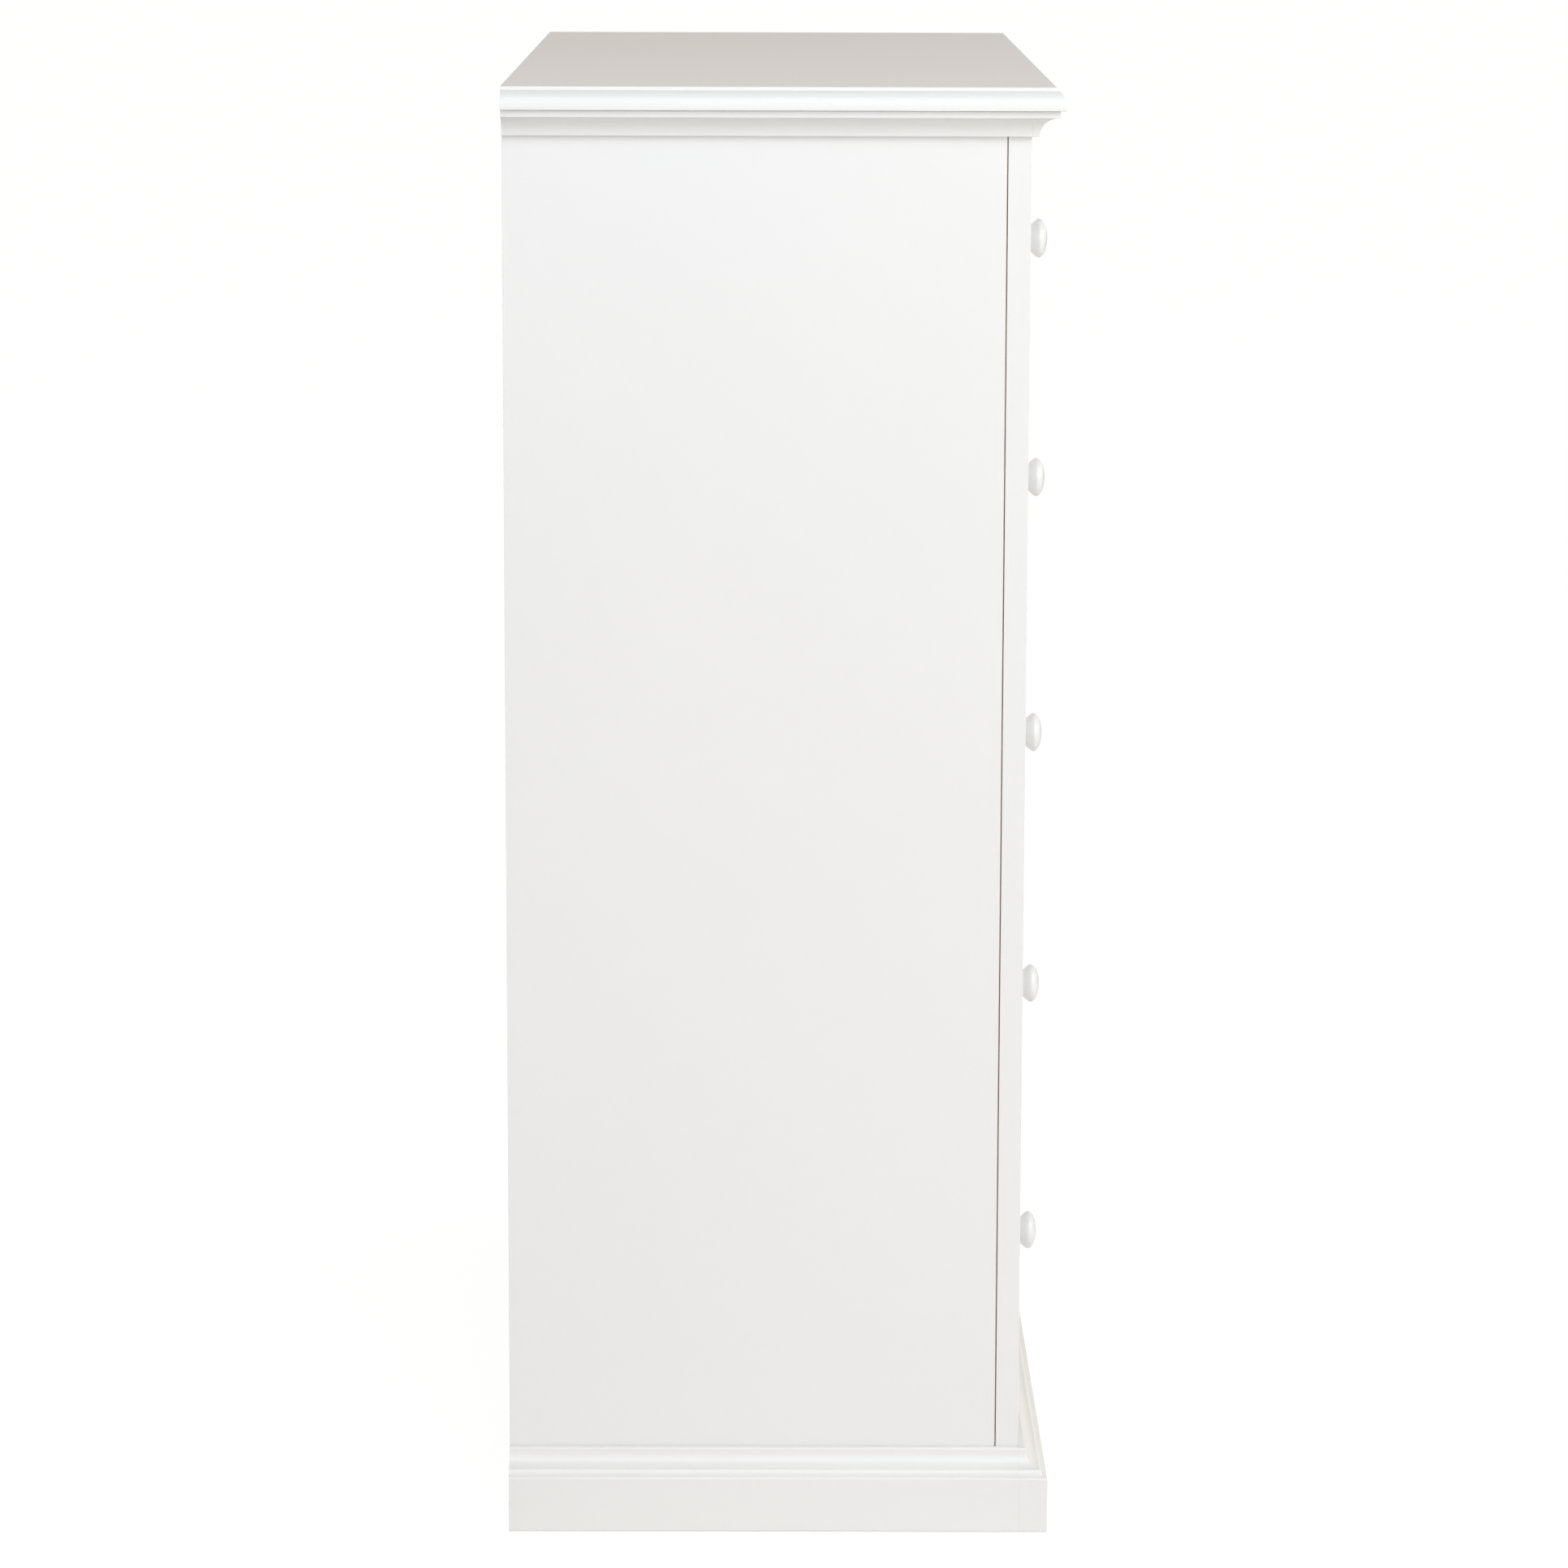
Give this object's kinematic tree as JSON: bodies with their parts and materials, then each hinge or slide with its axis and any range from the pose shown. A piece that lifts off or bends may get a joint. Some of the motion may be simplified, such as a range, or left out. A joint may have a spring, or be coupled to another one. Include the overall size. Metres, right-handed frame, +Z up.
{
  "type": "chest of drawers",
  "caption": "Tall narrow white-painted wooden chest with moulded top, cove cornice, plinth, inset drawers on wooden runners and round turned knobs.",
  "frame": {"origin": "middle of the bounding box, on the floor that the plinth stands on", "axes": "+Z up, the drawers open towards -Y, +X along the width to the right as seen from the front"},
  "size_m": [0.99, 0.434, 1.15],
  "materials": {
    "white_paint": "satin white paint on wood, sprayed smooth, arrises slightly rounded",
    "knob_paint": "semi-gloss white paint on turned wood",
    "drawer_wood": "planed pine and thin board, clear sealed, matt",
    "runner_wood": "planed beech, waxed",
    "backboard": "hard fibreboard, smooth face outwards, matt"
  },
  "bodies": {
    "carcass": {"top_board": "white_paint", "cornice_front": "white_paint", "cornice_left": "white_paint", "cornice_right": "white_paint", "side_panel_left": "white_paint", "side_panel_right": "white_paint", "stile_left": "white_paint", "stile_right": "white_paint", "top_rail": "white_paint", "bottom_rail": "white_paint", "back_panel": "backboard", "bottom_panel": "drawer_wood", "plinth_front": "white_paint", "plinth_left": "white_paint", "plinth_right": "white_paint", "runner_1_left": "runner_wood", "runner_1_right": "runner_wood", "runner_2_left": "runner_wood", "runner_2_right": "runner_wood", "runner_3_left": "runner_wood", "runner_3_right": "runner_wood", "runner_4_left": "runner_wood", "runner_4_right": "runner_wood", "runner_5_left": "runner_wood", "runner_5_right": "runner_wood"},
    "drawer_1": {"drawer_1_front": "white_paint", "drawer_1_side_left": "drawer_wood", "drawer_1_side_right": "drawer_wood", "drawer_1_back": "drawer_wood", "drawer_1_bottom": "drawer_wood", "knob_1_left": "knob_paint", "knob_1_right": "knob_paint"},
    "drawer_2": {"drawer_2_front": "white_paint", "drawer_2_side_left": "drawer_wood", "drawer_2_side_right": "drawer_wood", "drawer_2_back": "drawer_wood", "drawer_2_bottom": "drawer_wood", "knob_2_left": "knob_paint", "knob_2_right": "knob_paint"},
    "drawer_3": {"drawer_3_front": "white_paint", "drawer_3_side_left": "drawer_wood", "drawer_3_side_right": "drawer_wood", "drawer_3_back": "drawer_wood", "drawer_3_bottom": "drawer_wood", "knob_3_left": "knob_paint", "knob_3_right": "knob_paint"},
    "drawer_4": {"drawer_4_front": "white_paint", "drawer_4_side_left": "drawer_wood", "drawer_4_side_right": "drawer_wood", "drawer_4_back": "drawer_wood", "drawer_4_bottom": "drawer_wood", "knob_4_left": "knob_paint", "knob_4_right": "knob_paint"},
    "drawer_5": {"drawer_5_front": "white_paint", "drawer_5_side_left": "drawer_wood", "drawer_5_side_right": "drawer_wood", "drawer_5_back": "drawer_wood", "drawer_5_bottom": "drawer_wood", "knob_5_left": "knob_paint", "knob_5_right": "knob_paint"}
  },
  "joints": [
    {"name": "drawer_1_slide", "type": "slide", "parent": "carcass", "child": "drawer_1", "axis": [0, -1, 0], "range_m": [0, 0.27]},
    {"name": "drawer_2_slide", "type": "slide", "parent": "carcass", "child": "drawer_2", "axis": [0, -1, 0], "range_m": [0, 0.27]},
    {"name": "drawer_3_slide", "type": "slide", "parent": "carcass", "child": "drawer_3", "axis": [0, -1, 0], "range_m": [0, 0.27]},
    {"name": "drawer_4_slide", "type": "slide", "parent": "carcass", "child": "drawer_4", "axis": [0, -1, 0], "range_m": [0, 0.27]},
    {"name": "drawer_5_slide", "type": "slide", "parent": "carcass", "child": "drawer_5", "axis": [0, -1, 0], "range_m": [0, 0.27]}
  ]
}
